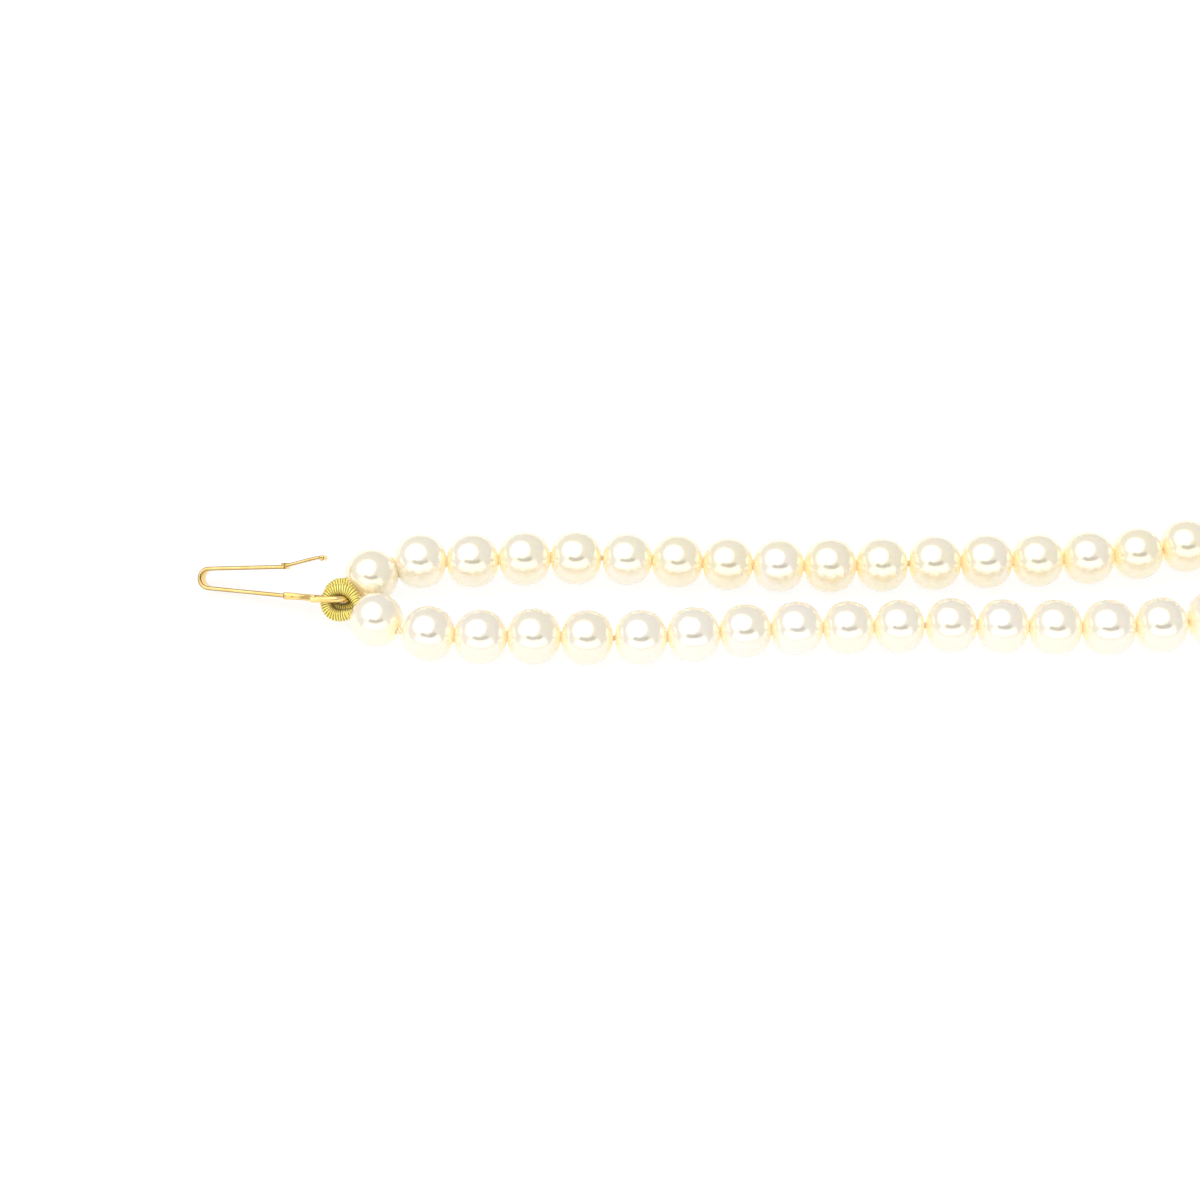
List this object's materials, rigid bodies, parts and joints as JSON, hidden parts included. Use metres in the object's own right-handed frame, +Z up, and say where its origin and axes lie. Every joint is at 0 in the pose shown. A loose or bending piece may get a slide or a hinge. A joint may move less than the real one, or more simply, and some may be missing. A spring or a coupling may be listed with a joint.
{
  "type": "pearl necklace",
  "caption": "Double-strand necklace of round pearls strung on silk, joined at each end by coiled wire loops to a snap hook and its pierced box.",
  "frame": {"origin": "on the surface that the necklace lies on, under the middle of its bounding box", "axes": "+Z up; +X from the clasp ends towards the front of the necklace; +Y from the hook's side to the box's side"},
  "size_m": [0.1758, 0.126, 0.0062],
  "materials": {
    "pearl_inner": "nacre, warm cream",
    "pearl_outer": "nacre, pale cream",
    "silk": "twisted silk",
    "gilt_coil": "bright coiled wire",
    "gold_hook": "polished gold",
    "gold_box": "polished gold, pierced"
  },
  "bodies": {
    "front_section": {"inner_pearls_06": "pearl_inner", "inner_thread_06": "silk", "outer_pearls_06": "pearl_outer", "outer_thread_06": "silk"},
    "inner_section_01": {"inner_pearls_01": "pearl_inner", "inner_thread_01": "silk"},
    "outer_section_01": {"outer_pearls_01": "pearl_outer", "outer_thread_01": "silk"},
    "inner_section_02": {"inner_pearls_02": "pearl_inner", "inner_thread_02": "silk"},
    "outer_section_02": {"outer_pearls_02": "pearl_outer", "outer_thread_02": "silk"},
    "inner_section_03": {"inner_pearls_03": "pearl_inner", "inner_thread_03": "silk"},
    "outer_section_03": {"outer_pearls_03": "pearl_outer", "outer_thread_03": "silk"},
    "inner_section_04": {"inner_pearls_04": "pearl_inner", "inner_thread_04": "silk"},
    "outer_section_04": {"outer_pearls_04": "pearl_outer", "outer_thread_04": "silk"},
    "inner_section_05": {"inner_pearls_05": "pearl_inner", "inner_thread_05": "silk"},
    "outer_section_05": {"outer_pearls_05": "pearl_outer", "outer_thread_05": "silk"},
    "inner_section_07": {"inner_pearls_07": "pearl_inner", "inner_thread_07": "silk"},
    "outer_section_07": {"outer_pearls_07": "pearl_outer", "outer_thread_07": "silk"},
    "inner_section_08": {"inner_pearls_08": "pearl_inner", "inner_thread_08": "silk"},
    "outer_section_08": {"outer_pearls_08": "pearl_outer", "outer_thread_08": "silk"},
    "inner_section_09": {"inner_pearls_09": "pearl_inner", "inner_thread_09": "silk"},
    "outer_section_09": {"outer_pearls_09": "pearl_outer", "outer_thread_09": "silk"},
    "inner_section_10": {"inner_pearls_10": "pearl_inner", "inner_thread_10": "silk"},
    "outer_section_10": {"outer_pearls_10": "pearl_outer", "outer_thread_10": "silk"},
    "inner_section_11": {"inner_pearls_11": "pearl_inner", "inner_thread_11": "silk"},
    "outer_section_11": {"outer_pearls_11": "pearl_outer", "outer_thread_11": "silk"},
    "hook_loops": {"hook_loop_inner": "gilt_coil", "hook_loop_outer": "gilt_coil"},
    "hook": {"hook_eye": "gold_hook", "hook_ferrule": "gold_hook", "hook_shank": "gold_hook"},
    "hook_spring": {"hook_spring_arm": "gold_hook"},
    "box_loops": {"box_loop_inner": "gilt_coil", "box_loop_outer": "gilt_coil"},
    "box": {"box_eye": "gold_box", "box_end_plate": "gold_box", "box_mouth_plate": "gold_box", "box_catch_bar": "gold_box", "box_top_shell": "gold_box", "box_bottom_shell": "gold_box"}
  },
  "joints": [
    {"name": "inner_lift_01", "type": "hinge", "parent": "inner_section_02", "child": "inner_section_01", "pos_m": [-0.04256, -0.04878, 0.00297], "axis": [-0.1162, 0.9932, -0.0076], "range_deg": [0, 16]},
    {"name": "outer_lift_01", "type": "hinge", "parent": "outer_section_02", "child": "outer_section_01", "pos_m": [-0.04125, -0.06003, 0.00305], "axis": [-0.1162, 0.9932, -0.0076], "range_deg": [0, 16]},
    {"name": "inner_lift_02", "type": "hinge", "parent": "inner_section_03", "child": "inner_section_02", "pos_m": [-0.00841, -0.04962, 0.00305], "axis": [-0.1584, 0.9873, 0.0095], "range_deg": [0, 16]},
    {"name": "outer_lift_02", "type": "hinge", "parent": "outer_section_03", "child": "outer_section_02", "pos_m": [-0.00704, -0.05819, 0.00297], "axis": [-0.1584, 0.9873, 0.0095], "range_deg": [0, 16]},
    {"name": "inner_lift_03", "type": "hinge", "parent": "inner_section_04", "child": "inner_section_03", "pos_m": [0.02014, -0.04765, 0.00293], "axis": [-0.1692, 0.9855, -0.0131], "range_deg": [0, 16]},
    {"name": "outer_lift_03", "type": "hinge", "parent": "outer_section_04", "child": "outer_section_03", "pos_m": [0.02189, -0.05788, 0.00307], "axis": [-0.1692, 0.9855, -0.0131], "range_deg": [0, 16]},
    {"name": "inner_lift_04", "type": "hinge", "parent": "inner_section_05", "child": "inner_section_04", "pos_m": [0.05212, -0.03501, 0.00302], "axis": [-0.6394, 0.7688, 0.0049], "range_deg": [0, 16]},
    {"name": "outer_lift_04", "type": "hinge", "parent": "outer_section_05", "child": "outer_section_04", "pos_m": [0.05877, -0.04301, 0.00297], "axis": [-0.6394, 0.7688, 0.0049], "range_deg": [0, 16]},
    {"name": "inner_lift_05", "type": "hinge", "parent": "front_section", "child": "inner_section_05", "pos_m": [0.07064, -0.01403, 0.003], "axis": [-0.9704, 0.2414, -0.0032], "range_deg": [0, 16]},
    {"name": "outer_lift_05", "type": "hinge", "parent": "front_section", "child": "outer_section_05", "pos_m": [0.08062, -0.01651, 0.00303], "axis": [-0.9704, 0.2414, -0.0032], "range_deg": [0, 16]},
    {"name": "inner_lift_06", "type": "hinge", "parent": "front_section", "child": "inner_section_07", "pos_m": [0.07289, 0.01965, 0.00295], "axis": [0.9559, 0.2935, 0.0066], "range_deg": [0, 16]},
    {"name": "outer_lift_06", "type": "hinge", "parent": "front_section", "child": "outer_section_07", "pos_m": [0.08211, 0.02249, 0.00301], "axis": [0.9559, 0.2935, 0.0066], "range_deg": [0, 16]},
    {"name": "inner_lift_07", "type": "hinge", "parent": "inner_section_07", "child": "inner_section_08", "pos_m": [0.05532, 0.04149, 0.00306], "axis": [0.5796, 0.8149, -0.0079], "range_deg": [0, 16]},
    {"name": "outer_lift_07", "type": "hinge", "parent": "outer_section_07", "child": "outer_section_08", "pos_m": [0.06105, 0.04954, 0.00298], "axis": [0.5796, 0.8149, -0.0079], "range_deg": [0, 16]},
    {"name": "inner_lift_08", "type": "hinge", "parent": "inner_section_08", "child": "inner_section_09", "pos_m": [0.02244, 0.04983, 0.00296], "axis": [0.0401, 0.9991, 0.0097], "range_deg": [0, 16]},
    {"name": "outer_lift_08", "type": "hinge", "parent": "outer_section_08", "child": "outer_section_09", "pos_m": [0.02283, 0.05954, 0.00305], "axis": [0.0401, 0.9991, 0.0097], "range_deg": [0, 16]},
    {"name": "inner_lift_09", "type": "hinge", "parent": "inner_section_09", "child": "inner_section_10", "pos_m": [-0.0065, 0.04884, 0.00302], "axis": [0.0288, 0.9996, -0.0045], "range_deg": [0, 16]},
    {"name": "outer_lift_09", "type": "hinge", "parent": "outer_section_09", "child": "outer_section_10", "pos_m": [-0.00622, 0.05854, 0.00297], "axis": [0.0288, 0.9996, -0.0045], "range_deg": [0, 16]},
    {"name": "inner_lift_10", "type": "hinge", "parent": "inner_section_10", "child": "inner_section_11", "pos_m": [-0.04058, 0.0497, 0.00303], "axis": [0.021, 0.9998, 0.0014], "range_deg": [0, 16]},
    {"name": "outer_lift_10", "type": "hinge", "parent": "outer_section_10", "child": "outer_section_11", "pos_m": [-0.04036, 0.0598, 0.00304], "axis": [0.021, 0.9998, 0.0014], "range_deg": [0, 16]},
    {"name": "hook_lift", "type": "hinge", "parent": "inner_section_01", "child": "hook_loops", "pos_m": [-0.06976, -0.05439, 0.003], "axis": [0, 1, 0], "range_deg": [0, 15]},
    {"name": "hook_swing", "type": "hinge", "parent": "hook_loops", "child": "hook", "pos_m": [-0.07091, -0.0545, 0.00286], "axis": [0.2198, 0.5939, -0.7739], "range_deg": [0, 40]},
    {"name": "spring_press", "type": "hinge", "parent": "hook", "child": "hook_spring", "pos_m": [-0.08652, -0.04964, 0.00215], "axis": [0.2198, 0.5939, -0.7739], "range_deg": [0, 12], "stiffness_Nm_per_rad": 0.02},
    {"name": "box_lift", "type": "hinge", "parent": "inner_section_11", "child": "box_loops", "pos_m": [-0.06839, 0.05461, 0.003], "axis": [0, 1, 0], "range_deg": [0, 15]},
    {"name": "box_swing", "type": "hinge", "parent": "box_loops", "child": "box", "pos_m": [-0.07076, 0.05461, 0.0025], "axis": [0, 0, 1], "range_deg": [-40, 40]}
  ],
  "couplings": [
    {"joint": "outer_lift_01", "follows": "inner_lift_01", "ratio": 1},
    {"joint": "outer_lift_02", "follows": "inner_lift_02", "ratio": 1},
    {"joint": "outer_lift_03", "follows": "inner_lift_03", "ratio": 1},
    {"joint": "outer_lift_04", "follows": "inner_lift_04", "ratio": 1},
    {"joint": "outer_lift_05", "follows": "inner_lift_05", "ratio": 1},
    {"joint": "outer_lift_06", "follows": "inner_lift_06", "ratio": 1},
    {"joint": "outer_lift_07", "follows": "inner_lift_07", "ratio": 1},
    {"joint": "outer_lift_08", "follows": "inner_lift_08", "ratio": 1},
    {"joint": "outer_lift_09", "follows": "inner_lift_09", "ratio": 1},
    {"joint": "outer_lift_10", "follows": "inner_lift_10", "ratio": 1}
  ]
}
